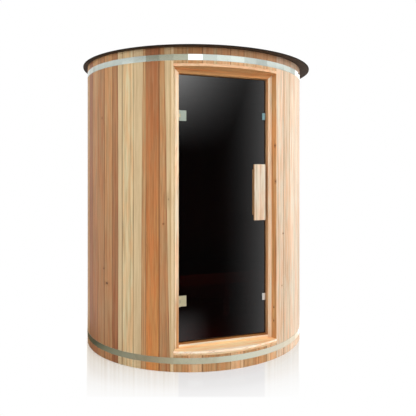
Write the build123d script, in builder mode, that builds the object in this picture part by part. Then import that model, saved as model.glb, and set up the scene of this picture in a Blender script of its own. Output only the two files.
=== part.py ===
from build123d import *
from math import cos, radians, sin, sqrt, tan
import os

os.makedirs("parts", exist_ok=True)

# An upright round barrel sauna. Millimetres, +Z up, the door faces -Y.
# The origin is on the barrel's axis, on the ground.

# Barrel
barrel_width = 1600
stave_count = 56
stave_thickness = 40
stave_height = 1994
staves_per_panel = 4
joint_gap = 0.3
joint_chamfer = 1.5
tongue_base = 14
tongue_tip = 10
tongue_depth = 6
tongue_play = 0.4

# Floor and ceiling, let into grooves in the staves
board_thickness = 28
board_width = 148
board_gap = 2
bearer_height = 45
bearer_width = 70
bearer_spacing = 450
bearer_wall_gap = 5
ceiling_drop = 64
groove_depth = 10
groove_play = 0.3
board_end_gap = 0.8

# Hoops
hoop_width = 38
hoop_thickness = 1.2
bottom_hoop_height = 50
top_hoop_drop = 81.5
ear_height = 32
ear_thickness = 4
ear_gap = 30
bolt_radius = 5
bolt_clearance = 0.3
bolt_tail = 8
nut_width = 17
nut_height = 8

# Roof
roof_overhang = 52
roof_shift = 20
sheet_thickness = 4
felt_thickness = 2
felt_edge = 1.5
felt_gap = 0.3

# Doorway
doorway_staves = 8
sill_staves_height = 105
sill_board_thickness = 24
curved_board_proud = 6
header_staves_height = 101
head_board_thickness = 17

# Flat door frame behind the curved boards
frame_setback = 1
frame_depth = 75
frame_stile_width = 60
stile_face = 25
frame_sill_face = 21
frame_head_face = 29
head_rail_height = 60

# Glass door
glass_thickness = 8
glass_gap = 5.5
glass_setback = 32
glass_corner = 3

# Hinges
hinge_height = 66
hinge_width = 51
hinge_inset = 258
knuckle_radius = 7
knuckle_gap = 0.5
knuckle_offset = 1
pin_radius = 3
pin_clearance = 0.05
leaf_thickness = 2.5
leaf_margin = 3
clamp_thickness = 5
clamp_swing_gap = 2

# Latch side
catch_inset = 242
catch_width = 22
catch_height = 45
catch_thickness = 3
catch_margin = 1
magnet_height = 40
magnet_gap = 0.5
stop_width = 12
stop_depth = 20
stop_gap = 10

# Handles, one on each side of the glass
handle_height = 1096
grip_width = 80
grip_length = 368
grip_thickness = 20
grip_rounding = 4
grip_edge_distance = 17
spacer_width = 34
spacer_length = 301
spacer_depth = 22
spacer_inset = 3

# Bench across the rear of the cabin
bench_height = 430
bench_front = 40
slat_width = 90
slat_gap = 8
slat_thickness = 28
slat_wall_gap = 4
bench_rail_height = 58
bench_rail_thickness = 28
ledger_width = 45
bench_bearer_width = 40
bench_bearer_gap = 0.3
inner_bearer_offset = 290
outer_bearer_offset = 495
leg_depth = 45

# Worked out from the sizes above
pitch = 360 / stave_count
outer_apothem = barrel_width / 2
inner_apothem = outer_apothem - stave_thickness
groove_radius = inner_apothem + groove_depth
board_end_radius = groove_radius - board_end_gap
doorway_half_angle = doorway_staves * pitch / 2
polygon_turn = -90 + doorway_half_angle
floor_bottom = bearer_height
floor_top = floor_bottom + board_thickness
ceiling_bottom = stave_height - ceiling_drop
wall_staves_count = stave_count - doorway_staves

inner_corner = inner_apothem / cos(radians(pitch / 2))
frame_front = inner_corner * cos(radians(doorway_half_angle)) - frame_setback
frame_back = frame_front - frame_depth
opening_half = inner_corner * sin(radians(doorway_half_angle)) - stile_face
header_bottom = stave_height - header_staves_height
head_board_bottom = header_bottom - head_board_thickness
sill_board_top = sill_staves_height + sill_board_thickness
curved_board_radius = outer_apothem + curved_board_proud
frame_sill_top = sill_board_top + frame_sill_face
frame_head_bottom = head_board_bottom - frame_head_face

glass_front = frame_front - glass_setback
glass_back = glass_front - glass_thickness
glass_half = opening_half - glass_gap
glass_bottom = frame_sill_top + glass_gap
glass_top = frame_head_bottom - glass_gap
hinge_axis_x = -glass_half + knuckle_radius - knuckle_offset
hinge_axis_y = -(glass_front + knuckle_radius + knuckle_offset)
hinge_levels = (glass_bottom + hinge_inset, glass_top - hinge_inset)
catch_levels = (glass_bottom + catch_inset, glass_top - catch_inset)
knuckle_length = (hinge_height - 2 * knuckle_gap) / 3


def ring_outline(apothem, mode=Mode.ADD):
    """Polygon with one side for each stave, its corners on the stave joints."""
    RegularPolygon(apothem, stave_count, major_radius=False, rotation=polygon_turn, mode=mode)


def doorway_wedge(mode=Mode.INTERSECT):
    """Everything between the doorway's two sawn radial edges."""
    reach = 2 * barrel_width
    spread = reach * tan(radians(doorway_half_angle))
    apex = joint_gap / 2 / sin(radians(doorway_half_angle))
    Polygon((0, -apex), (spread, -reach - apex), (-spread, -reach - apex), align=None, mode=mode)


def block(x_range, depth_range, z_range, mode=Mode.ADD):
    """Box between two x, two distances in front of the axis and two heights."""
    x = (x_range[0] + x_range[1]) / 2
    y = -(depth_range[0] + depth_range[1]) / 2
    with Locations((x, y, z_range[0])):
        Box(
            x_range[1] - x_range[0],
            depth_range[1] - depth_range[0],
            z_range[1] - z_range[0],
            align=(Align.CENTER, Align.CENTER, Align.MIN),
            mode=mode,
        )


def stave(low, high, tongued=True, grooved=True):
    """One stave on the +X side of the barrel, its +Y edge tongued and its -Y edge grooved."""
    half = radians(pitch / 2)
    middle = inner_apothem + stave_thickness / 2

    def edge(x, out=0):
        """Point on the +Y edge at distance x, moved out square to it."""
        return (x - out * sin(half), x * tan(half) - joint_gap / 2 / cos(half) + out * cos(half))

    def lower(points):
        """The same points on the -Y edge, in the opposite order."""
        return [(x, -y) for x, y in reversed(points)]

    shoulder = edge(outer_apothem - joint_chamfer)
    tongue = [
        edge(middle - tongue_base / 2),
        edge(middle - tongue_tip / 2, tongue_depth),
        edge(middle + tongue_tip / 2, tongue_depth),
        edge(middle + tongue_base / 2),
    ]
    groove = [
        edge(middle - tongue_base / 2 - tongue_play),
        edge(middle - tongue_tip / 2 - tongue_play, -tongue_depth - tongue_play),
        edge(middle + tongue_tip / 2 + tongue_play, -tongue_depth - tongue_play),
        edge(middle + tongue_base / 2 + tongue_play),
    ]
    inner_end = [edge(inner_apothem)]
    outer_end = [shoulder, (outer_apothem, edge(outer_apothem)[1] - joint_chamfer)]
    upper_side = inner_end + (tongue if tongued else []) + outer_end
    lower_side = lower(inner_end + (groove if grooved else []) + outer_end)
    with BuildPart() as board:
        with BuildSketch(Plane.XY.offset(low)):
            with BuildLine():
                Polyline(*upper_side, *lower_side, close=True)
            make_face()
        extrude(amount=high - low)
        for board_bottom in (floor_bottom, ceiling_bottom):
            dado_bottom = board_bottom - groove_play
            if low < dado_bottom < high:
                with Locations((inner_apothem, 0, dado_bottom)):
                    Box(
                        2 * groove_depth,
                        barrel_width,
                        board_thickness + 2 * groove_play,
                        align=(Align.CENTER, Align.CENTER, Align.MIN),
                        mode=Mode.SUBTRACT,
                    )
    return board.part


def add_staves(kinds, first_angle):
    """Adds staves side by side round the barrel, the first one centred at first_angle."""
    for i, kind in enumerate(kinds):
        with PolarLocations(0, 1, start_angle=first_angle + i * pitch):
            add(kind)


def let_in_boards(bottom):
    """Boards side by side along X, their ends cut round to lie in the groove."""
    step = board_width + board_gap
    count = int(2 * board_end_radius / step) + 1
    with BuildPart() as boards:
        with BuildSketch(Plane.XY.offset(bottom)):
            with GridLocations(0, step, 1, count):
                Rectangle(2 * barrel_width, board_width)
            Circle(board_end_radius, mode=Mode.INTERSECT)
        extrude(amount=board_thickness)
    return boards.part


# Wall staves, from the doorway's right edge round the rear to its left edge
full_stave = stave(0, stave_height)
right_stave = stave(0, stave_height, grooved=False)
left_stave = stave(0, stave_height, tongued=False)
wall_kinds = [right_stave] + [full_stave] * (wall_staves_count - 2) + [left_stave]
wall_start = polygon_turn + pitch / 2
for first in range(0, wall_staves_count, staves_per_panel):
    panel_name = f"wall_staves_{first // staves_per_panel + 1:02d}"
    with BuildPart() as wall_staves:
        add_staves(wall_kinds[first : first + staves_per_panel], wall_start + first * pitch)
    wall_staves.part.label = panel_name
    export_step(wall_staves.part, f"parts/{panel_name}.step")

# Short staves over and under the doorway
short_start = -90 - doorway_half_angle + pitch / 2


def short_staves(low, high):
    """The doorway's own staves between two heights, flat at both outer edges."""
    inner_kinds = [stave(low, high)] * (doorway_staves - 2)
    return [stave(low, high, grooved=False)] + inner_kinds + [stave(low, high, tongued=False)]


with BuildPart() as header_staves:
    add_staves(short_staves(header_bottom, stave_height), short_start)
header_staves.part.label = "header_staves"
export_step(header_staves.part, "parts/header_staves.step")

with BuildPart() as sill_staves:
    add_staves(short_staves(0, sill_staves_height), short_start)
sill_staves.part.label = "sill_staves"
export_step(sill_staves.part, "parts/sill_staves.step")

# Steel hoops, closed at the rear by a bolt through two ears
top_hoop_height = stave_height - top_hoop_drop
hoop_levels = (bottom_hoop_height, top_hoop_height)
ear_centre = ear_gap / 2 + ear_thickness / 2
ear_top = outer_apothem + ear_height
bolt_y = outer_apothem + hoop_thickness + (ear_height - hoop_thickness) / 2


def hoop(level):
    """Flat steel band bent round the staves, with an ear turned up at each end."""
    with BuildPart() as band:
        with BuildSketch(Plane.XY.offset(level)):
            ring_outline(outer_apothem + hoop_thickness)
            with Locations((-ear_centre, 0), (ear_centre, 0)):
                Rectangle(ear_thickness, ear_top, align=(Align.CENTER, Align.MIN))
            with Locations((0, outer_apothem)):
                Rectangle(ear_gap, barrel_width / 4, mode=Mode.SUBTRACT)
            ring_outline(outer_apothem, mode=Mode.SUBTRACT)
        extrude(amount=hoop_width)
        with Locations(Location((0, bolt_y, level + hoop_width / 2), (0, 90, 0))):
            Cylinder(bolt_radius + bolt_clearance, 2 * ear_gap, mode=Mode.SUBTRACT)
    return band.part


with BuildPart() as bottom_hoop:
    add(hoop(bottom_hoop_height))
bottom_hoop.part.label = "bottom_hoop"
export_step(bottom_hoop.part, "parts/bottom_hoop.step")

with BuildPart() as top_hoop:
    add(hoop(top_hoop_height))
top_hoop.part.label = "top_hoop"
export_step(top_hoop.part, "parts/top_hoop.step")

ear_outside = ear_gap / 2 + ear_thickness
nut_radius = nut_width / sqrt(3)
with BuildPart() as hoop_bolts:
    for level in hoop_levels:
        head_plane = Plane((-ear_outside, bolt_y, level + hoop_width / 2), z_dir=(1, 0, 0))
        with BuildSketch(head_plane):
            RegularPolygon(nut_radius, 6)
        extrude(amount=-nut_height)
        with BuildSketch(head_plane):
            Circle(bolt_radius)
        extrude(amount=2 * ear_outside + nut_height + bolt_tail)
hoop_bolts.part.label = "hoop_bolts"
export_step(hoop_bolts.part, "parts/hoop_bolts.step")

with BuildPart() as hoop_nuts:
    for level in hoop_levels:
        with BuildSketch(Plane((ear_outside, bolt_y, level + hoop_width / 2), z_dir=(1, 0, 0))):
            RegularPolygon(nut_radius, 6)
            Circle(bolt_radius + bolt_clearance, mode=Mode.SUBTRACT)
        extrude(amount=nut_height)
hoop_nuts.part.label = "hoop_nuts"
export_step(hoop_nuts.part, "parts/hoop_nuts.step")

# Roof disc, laid a little off centre, with felt turned down over its edge
roof_radius = outer_apothem + roof_overhang
sheet_radius = roof_radius - felt_edge - felt_gap
with BuildPart() as roof_sheet:
    with BuildSketch(Plane.XY.offset(stave_height)):
        with Locations((roof_shift, 0)):
            Circle(sheet_radius)
    extrude(amount=sheet_thickness)
roof_sheet.part.label = "roof_sheet"
export_step(roof_sheet.part, "parts/roof_sheet.step")

with BuildPart() as roof_felt:
    with BuildSketch(Plane.XY.offset(stave_height)):
        with Locations((roof_shift, 0)):
            Circle(roof_radius)
    extrude(amount=sheet_thickness + felt_thickness)
    with BuildSketch(Plane.XY.offset(stave_height)):
        with Locations((roof_shift, 0)):
            Circle(roof_radius - felt_edge)
    extrude(amount=sheet_thickness, mode=Mode.SUBTRACT)
roof_felt.part.label = "roof_felt"
export_step(roof_felt.part, "parts/roof_felt.step")

# Floor, its bearers and the ceiling
with BuildPart() as floor_boards:
    add(let_in_boards(floor_bottom))
floor_boards.part.label = "floor_boards"
export_step(floor_boards.part, "parts/floor_boards.step")

with BuildPart() as ceiling_boards:
    add(let_in_boards(ceiling_bottom))
ceiling_boards.part.label = "ceiling_boards"
export_step(ceiling_boards.part, "parts/ceiling_boards.step")

with BuildPart() as floor_bearers:
    with BuildSketch():
        with GridLocations(bearer_spacing, 0, 3, 1):
            Rectangle(bearer_width, barrel_width)
        Circle(inner_apothem - bearer_wall_gap, mode=Mode.INTERSECT)
    extrude(amount=bearer_height)
floor_bearers.part.label = "floor_bearers"
export_step(floor_bearers.part, "parts/floor_bearers.step")


# Curved boards that line the doorway above and below
def curved_board(bottom, thickness):
    """Board from the flat frame out past the staves, its front edge following the barrel."""
    with BuildPart() as lining:
        with BuildSketch(Plane.XY.offset(bottom)):
            Circle(curved_board_radius)
            doorway_wedge()
            with Locations((0, -frame_front)):
                Rectangle(barrel_width, barrel_width, align=(Align.CENTER, Align.MAX), mode=Mode.INTERSECT)
        extrude(amount=thickness)
    return lining.part


with BuildPart() as head_board:
    add(curved_board(head_board_bottom, head_board_thickness))
head_board.part.label = "head_board"
export_step(head_board.part, "parts/head_board.step")

with BuildPart() as sill_board:
    add(curved_board(sill_staves_height, sill_board_thickness))
sill_board.part.label = "sill_board"
export_step(sill_board.part, "parts/sill_board.step")

# Flat frame: stiles scribed to the wall, head rail mitred to them, sill rail between them
frame_depths = (frame_back, frame_front)
frame_top = frame_head_bottom + head_rail_height


def mitred_rail():
    """Head rail over the full width of the frame, its ends sloping to meet the stiles."""
    with BuildPart() as rail:
        with BuildSketch(Plane.XZ.offset(frame_back)):
            Polygon(
                (-opening_half, frame_head_bottom),
                (opening_half, frame_head_bottom),
                (opening_half + frame_stile_width, frame_top),
                (-opening_half - frame_stile_width, frame_top),
                align=None,
            )
        extrude(amount=frame_depth)
    return rail.part


def frame_stile(side):
    """Upright of the frame on side -1 or 1, its outer edge cut to the staves."""
    with BuildPart() as stile:
        with BuildSketch(Plane.XY.offset(floor_top)):
            with Locations((side * (opening_half + frame_stile_width / 2), -(frame_front + frame_back) / 2)):
                Rectangle(frame_stile_width, frame_depth)
            ring_outline(inner_apothem, mode=Mode.INTERSECT)
        extrude(amount=frame_top - floor_top)
        add(mitred_rail(), mode=Mode.SUBTRACT)
    return stile.part


with BuildPart() as frame_left_stile:
    add(frame_stile(-1))
frame_left_stile.part.label = "frame_left_stile"
export_step(frame_left_stile.part, "parts/frame_left_stile.step")

with BuildPart() as frame_right_stile:
    add(frame_stile(1))
frame_right_stile.part.label = "frame_right_stile"
export_step(frame_right_stile.part, "parts/frame_right_stile.step")

with BuildPart() as frame_head_rail:
    with BuildSketch(Plane.XY.offset(frame_head_bottom)):
        ring_outline(inner_apothem)
    extrude(amount=head_rail_height)
    add(mitred_rail(), mode=Mode.INTERSECT)
frame_head_rail.part.label = "frame_head_rail"
export_step(frame_head_rail.part, "parts/frame_head_rail.step")

with BuildPart() as frame_sill_rail:
    block((-opening_half, opening_half), frame_depths, (floor_top, frame_sill_top))
frame_sill_rail.part.label = "frame_sill_rail"
export_step(frame_sill_rail.part, "parts/frame_sill_rail.step")

# Stop strip and magnets on the latch side
stop_front = glass_back - stop_gap
stop_range = (opening_half - stop_width, opening_half)
with BuildPart() as latch_stop:
    block(stop_range, (stop_front - stop_depth, stop_front), (frame_sill_top, frame_head_bottom))
latch_stop.part.label = "latch_stop"
export_step(latch_stop.part, "parts/latch_stop.step")

with BuildPart() as catch_magnets:
    for level in catch_levels:
        magnet_range = (level - magnet_height / 2, level + magnet_height / 2)
        magnet_front = glass_back - catch_thickness - magnet_gap
        block(stop_range, (stop_front, magnet_front), magnet_range)
catch_magnets.part.label = "catch_magnets"
export_step(catch_magnets.part, "parts/catch_magnets.step")


# Hinges: a leaf on the stile, a clamp on the glass and a pin through both
def hinge_cylinder(radius, low, high, mode=Mode.ADD):
    """Upright cylinder on the hinge axis between two heights."""
    with Locations((hinge_axis_x, hinge_axis_y, low)):
        Cylinder(radius, high - low, align=(Align.CENTER, Align.CENTER, Align.MIN), mode=mode)


with BuildPart() as hinge_leaves:
    for level in hinge_levels:
        low = level - hinge_height / 2
        high = level + hinge_height / 2
        middle_range = (level - knuckle_length / 2, level + knuckle_length / 2)
        leaf_depths = (-hinge_axis_y, frame_front - leaf_margin)
        block((-opening_half, -opening_half + leaf_thickness), leaf_depths, (low, high))
        web_depths = (-hinge_axis_y, -hinge_axis_y + knuckle_radius)
        block((-opening_half, hinge_axis_x), web_depths, middle_range)
        hinge_cylinder(knuckle_radius, *middle_range)
        hinge_cylinder(pin_radius + pin_clearance, low, high, mode=Mode.SUBTRACT)
hinge_leaves.part.label = "hinge_leaves"
export_step(hinge_leaves.part, "parts/hinge_leaves.step")

with BuildPart() as hinge_pins:
    for level in hinge_levels:
        hinge_cylinder(pin_radius, level - hinge_height / 2, level + hinge_height / 2)
hinge_pins.part.label = "hinge_pins"
export_step(hinge_pins.part, "parts/hinge_pins.step")

clamp_right = -glass_half + hinge_width
with BuildPart() as hinge_clamps:
    for level in hinge_levels:
        low = level - hinge_height / 2
        high = level + hinge_height / 2
        half_gap = knuckle_length / 2 + knuckle_gap
        block((hinge_axis_x, clamp_right), (glass_front, glass_front + clamp_thickness), (low, high))
        hinge_cylinder(knuckle_radius, low, high)
        swing_right = hinge_axis_x + knuckle_radius + clamp_swing_gap
        swing_depths = (glass_front, -hinge_axis_y + knuckle_radius + clamp_swing_gap)
        swing_left = hinge_axis_x - knuckle_radius - clamp_swing_gap
        swing_heights = (level - half_gap, level + half_gap)
        block((swing_left, swing_right), swing_depths, swing_heights, mode=Mode.SUBTRACT)
        hinge_cylinder(pin_radius + pin_clearance, low, high, mode=Mode.SUBTRACT)
hinge_clamps.part.label = "hinge_clamps"
export_step(hinge_clamps.part, "parts/hinge_clamps.step")

with BuildPart() as hinge_backplates:
    for level in hinge_levels:
        height_range = (level - hinge_height / 2, level + hinge_height / 2)
        block((hinge_axis_x, clamp_right), (glass_back - clamp_thickness, glass_back), height_range)
hinge_backplates.part.label = "hinge_backplates"
export_step(hinge_backplates.part, "parts/hinge_backplates.step")

# Glass leaf with its catch plates
glass_centre = (0, -glass_back, (glass_bottom + glass_top) / 2)
with BuildPart() as door_glass:
    with BuildSketch(Plane(glass_centre, x_dir=(1, 0, 0), z_dir=(0, -1, 0))):
        RectangleRounded(2 * glass_half, glass_top - glass_bottom, glass_corner)
    extrude(amount=glass_thickness)
door_glass.part.label = "door_glass"
export_step(door_glass.part, "parts/door_glass.step")

catch_right = glass_half - catch_margin
with BuildPart() as catch_plates:
    for level in catch_levels:
        height_range = (level - catch_height / 2, level + catch_height / 2)
        for near in (glass_front, glass_back - catch_thickness):
            block((catch_right - catch_width, catch_right), (near, near + catch_thickness), height_range)
catch_plates.part.label = "catch_plates"
export_step(catch_plates.part, "parts/catch_plates.step")

# Pull handles: a spacer on the glass and a wider grip on the spacer
grip_right = glass_half - grip_edge_distance
grip_left = grip_right - grip_width
spacer_left = grip_left + spacer_inset
spacer_range = (handle_height - spacer_length / 2, handle_height + spacer_length / 2)
grip_range = (handle_height - grip_length / 2, handle_height + grip_length / 2)
outer_spacer = (glass_front, glass_front + spacer_depth)
inner_spacer = (glass_back - spacer_depth, glass_back)
outer_grip = (outer_spacer[1], outer_spacer[1] + grip_thickness)
inner_grip = (inner_spacer[0] - grip_thickness, inner_spacer[0])
with BuildPart() as handle_spacers:
    for depths in (outer_spacer, inner_spacer):
        block((spacer_left, spacer_left + spacer_width), depths, spacer_range)
handle_spacers.part.label = "handle_spacers"
export_step(handle_spacers.part, "parts/handle_spacers.step")

with BuildPart() as handle_grips:
    for depths in (outer_grip, inner_grip):
        block((grip_left, grip_right), depths, grip_range)
    fillet(handle_grips.edges().filter_by(Axis.Z), grip_rounding)
handle_grips.part.label = "handle_grips"
export_step(handle_grips.part, "parts/handle_grips.step")

# Bench: slats on bearers, a front rail, legs and a ledger that follows the wall
slat_bottom = bench_height - slat_thickness
rail_bottom = bench_height - slat_thickness - bench_rail_height
bearer_front = bench_front + bench_rail_thickness
ledger_radius = inner_apothem - ledger_width
bearer_offsets = (-outer_bearer_offset, -inner_bearer_offset, inner_bearer_offset, outer_bearer_offset)

with BuildPart() as bench_slats:
    with BuildSketch(Plane.XY.offset(slat_bottom)):
        slat_step = slat_width + slat_gap
        slat_count = int((inner_apothem - slat_wall_gap - bench_front) / slat_step)
        for i in range(slat_count):
            with Locations((0, bench_front + i * slat_step)):
                Rectangle(barrel_width, slat_width, align=(Align.CENTER, Align.MIN))
        Circle(inner_apothem - slat_wall_gap, mode=Mode.INTERSECT)
    extrude(amount=slat_thickness)
bench_slats.part.label = "bench_slats"
export_step(bench_slats.part, "parts/bench_slats.step")

with BuildPart() as bench_front_rail:
    with BuildSketch(Plane.XY.offset(rail_bottom)):
        with Locations((0, bench_front)):
            Rectangle(barrel_width, bench_rail_thickness, align=(Align.CENTER, Align.MIN))
        ring_outline(inner_apothem, mode=Mode.INTERSECT)
    extrude(amount=bench_rail_height)
bench_front_rail.part.label = "bench_front_rail"
export_step(bench_front_rail.part, "parts/bench_front_rail.step")

with BuildPart() as bench_ledger:
    with BuildSketch(Plane.XY.offset(rail_bottom)):
        ring_outline(inner_apothem)
        Circle(ledger_radius, mode=Mode.SUBTRACT)
        with Locations((0, bearer_front)):
            Rectangle(barrel_width, barrel_width, align=(Align.CENTER, Align.MIN), mode=Mode.INTERSECT)
    extrude(amount=bench_rail_height)
bench_ledger.part.label = "bench_ledger"
export_step(bench_ledger.part, "parts/bench_ledger.step")

with BuildPart() as bench_bearers:
    with BuildSketch(Plane.XY.offset(rail_bottom)):
        for offset_x in bearer_offsets:
            with Locations((offset_x, bearer_front)):
                Rectangle(bench_bearer_width, barrel_width, align=(Align.CENTER, Align.MIN))
        Circle(ledger_radius - bench_bearer_gap, mode=Mode.INTERSECT)
    extrude(amount=bench_rail_height)
bench_bearers.part.label = "bench_bearers"
export_step(bench_bearers.part, "parts/bench_bearers.step")

with BuildPart() as bench_legs:
    with BuildSketch(Plane.XY.offset(floor_top)):
        for offset_x in bearer_offsets:
            with Locations((offset_x, bearer_front)):
                Rectangle(bench_bearer_width, leg_depth, align=(Align.CENTER, Align.MIN))
    extrude(amount=rail_bottom - floor_top)
bench_legs.part.label = "bench_legs"
export_step(bench_legs.part, "parts/bench_legs.step")
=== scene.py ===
import math
import random
from collections import namedtuple

import bpy
from bpy.props import FloatProperty, FloatVectorProperty, PointerProperty
from mathutils import Matrix, Vector


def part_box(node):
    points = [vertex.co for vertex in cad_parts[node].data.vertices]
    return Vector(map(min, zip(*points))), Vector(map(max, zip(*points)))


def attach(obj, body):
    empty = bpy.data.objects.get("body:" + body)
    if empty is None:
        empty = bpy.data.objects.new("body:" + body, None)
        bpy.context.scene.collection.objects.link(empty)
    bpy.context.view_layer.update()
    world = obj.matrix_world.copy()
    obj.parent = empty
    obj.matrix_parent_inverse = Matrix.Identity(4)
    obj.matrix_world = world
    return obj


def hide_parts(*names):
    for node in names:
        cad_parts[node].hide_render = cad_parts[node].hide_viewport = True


bl_info = {
    "name": "Barrel Sauna",
    "version": (1, 0, 0),
    "blender": (4, 5, 0),
    "location": "View3D > Sidebar > Barrel Sauna",
    "description": "Dresses the packed barrel sauna: cedar staves, steel hoops, smoked glass door and studio stage",
    "category": "Object",
}

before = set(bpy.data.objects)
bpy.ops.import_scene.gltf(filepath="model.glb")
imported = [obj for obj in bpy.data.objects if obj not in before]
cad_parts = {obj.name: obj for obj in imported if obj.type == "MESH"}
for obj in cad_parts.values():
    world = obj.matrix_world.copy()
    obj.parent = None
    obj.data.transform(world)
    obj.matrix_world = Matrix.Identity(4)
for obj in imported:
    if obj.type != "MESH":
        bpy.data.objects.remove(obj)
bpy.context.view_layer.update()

MM = 0.001
STAVE_COUNT = 56
DOORWAY_STAVES = 8
STAVE_PITCH = math.tau / STAVE_COUNT
DOORWAY_HALF_ANGLE = DOORWAY_STAVES * STAVE_PITCH / 2
DOORWAY_RIGHT_EDGE = -math.pi / 2 + DOORWAY_HALF_ANGLE
CAMERA_PLACE = Vector((-1.0800, -3.6826, 1.2059))
CAMERA_TURN = math.radians(-19.43)


def paint(red, green, blue):
    """Linear colour of an sRGB colour given from 0 to 255."""
    def linear(part):
        part /= 255
        return part / 12.92 if part <= 0.04045 else ((part + 0.055) / 1.055) ** 2.4
    return linear(red), linear(green), linear(blue)


def colour_setting(name, description, red, green, blue):
    """A colour that a user may change."""
    return FloatVectorProperty(
        name=name, description=description, subtype="COLOR", size=3, min=0, max=1, default=paint(red, green, blue)
    )


def length_setting(name, description, default):
    """A length in metres that a user may change."""
    return FloatProperty(
        name=name, description=description, subtype="DISTANCE", unit="LENGTH", min=0, default=default, precision=4
    )


class SaunaWoodTones(bpy.types.PropertyGroup):
    """Colours of the boards."""
    brown: colour_setting("Brown", "Plain brown heartwood", 157, 103, 66)
    red: colour_setting("Red", "Reddish brown heartwood", 176, 117, 77)
    rose: colour_setting("Rose", "Pinkish brown heartwood", 171, 124, 83)
    tan: colour_setting("Tan", "Light tan heartwood", 186, 143, 98)
    orange: colour_setting("Orange", "Orange heartwood", 199, 133, 73)
    biscuit: colour_setting("Biscuit", "Light brown heartwood", 211, 169, 127)
    pale: colour_setting("Pale", "Pale pinkish boards", 222, 199, 174)
    blush: colour_setting("Blush", "Slightly darker pinkish boards", 214, 186, 157)
    cream: colour_setting("Cream", "Sapwood", 205, 180, 138)
    peach: colour_setting("Peach", "Light peach boards of the door frame", 242, 217, 186)
    straw: colour_setting("Straw", "Sill of the doorway", 253, 216, 166)
    apricot: colour_setting("Apricot", "Curved head board", 234, 190, 150)
    clay: colour_setting("Clay", "Inner sides of the door frame", 230, 175, 124)
    # Amber also stands as painted shade on the doorway's right sawn side and under the head board.
    amber: colour_setting("Amber", "Sawn side of the wall at the doorway", 211, 157, 103)


class SaunaFinishes(bpy.types.PropertyGroup):
    """Colours of steel, glass, roof and stage."""
    hoop: colour_setting("Hoops", "Rolled steel band", 182, 188, 178)
    # The hinge and catch colours hold painted reflections of the studio: upper and lower plates differ only by what
    # they mirror, and the upper catch is blue from it.
    plate: colour_setting("Hinges", "Satin steel of the upper hinge", 168, 178, 165)
    low_plate_reflection: colour_setting("Lower hinge", "Satin steel of the lower hinge", 226, 216, 180)
    leaf: colour_setting("Hinge leaves", "Steel of the leaves on the frame", 205, 195, 165)
    catch: colour_setting("Upper catch", "Satin steel of the upper catch plate", 138, 176, 182)
    low_catch_reflection: colour_setting("Lower catch", "Satin steel of the lower catch plate", 240, 240, 236)
    zinc: colour_setting("Fasteners", "Zinc plated bolts and screws", 186, 188, 186)
    glass: colour_setting("Glass", "Smoked glass", 5, 5, 5)
    felt: colour_setting("Felt", "Roofing felt", 13, 9, 7)
    sheet: colour_setting("Roof sheet", "Stained sheet under the felt", 68, 46, 29)
    floor: colour_setting("Stage floor", "Pale studio floor", 250, 249, 248)


class SaunaSizes(bpy.types.PropertyGroup):
    """Small sizes that the solids leave out."""
    board_edge: length_setting("Board edge", "Rounding of a planed board's edges", 1.2 * MM)
    plate_edge: length_setting("Plate edge", "Rounding of a steel plate's edges", 0.5 * MM)
    glass_edge: length_setting("Glass edge", "Polished bevel of the glass", 0.8 * MM)
    ring_width: length_setting("Ring width", "Width of one growth ring", 3.4 * MM)
    screw_head: length_setting("Screw head", "Diameter of a countersunk head", 8 * MM)


def arithmetic(operation, swapped=False):
    """A method of Wire that adds a Math node with another number or socket."""
    def method(self, other):
        terms = {0: other, 1: self} if swapped else {0: self, 1: other}
        return self.finish.wire("Math", {"operation": operation}, terms)
    return method


class Wire:
    """A shader socket, on which Python's arithmetic adds Math nodes."""

    def __init__(self, finish, socket):
        self.finish, self.socket = finish, socket

    __add__ = __radd__ = arithmetic("ADD")
    __sub__ = arithmetic("SUBTRACT")
    __rsub__ = arithmetic("SUBTRACT", swapped=True)
    __mul__ = __rmul__ = arithmetic("MULTIPLY")
    __truediv__ = arithmetic("DIVIDE")
    __rtruediv__ = arithmetic("DIVIDE", swapped=True)
    __pow__ = arithmetic("POWER")
    highest = arithmetic("MAXIMUM")
    angle = arithmetic("ARCTAN2")

    def fraction(self):
        return self.finish.wire("Math", {"operation": "FRACT"}, {0: self})

    def rise(self, low, high, kind="SMOOTHSTEP"):
        """Step from 0 at low to 1 at high."""
        return self.finish.wire("MapRange", {"interpolation_type": kind}, {0: self, 1: low, 2: high, 3: 0.0, 4: 1.0})

    def past(self, place, blur=1 * MM):
        """Step from 0 to 1 at a place, blurred on both sides of it."""
        return self.rise(place - blur, place + blur)

    def within(self, low, high, blur):
        """1 between two places and 0 beyond them."""
        return self.past(low, blur) * (1 - self.past(high, blur))


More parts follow.
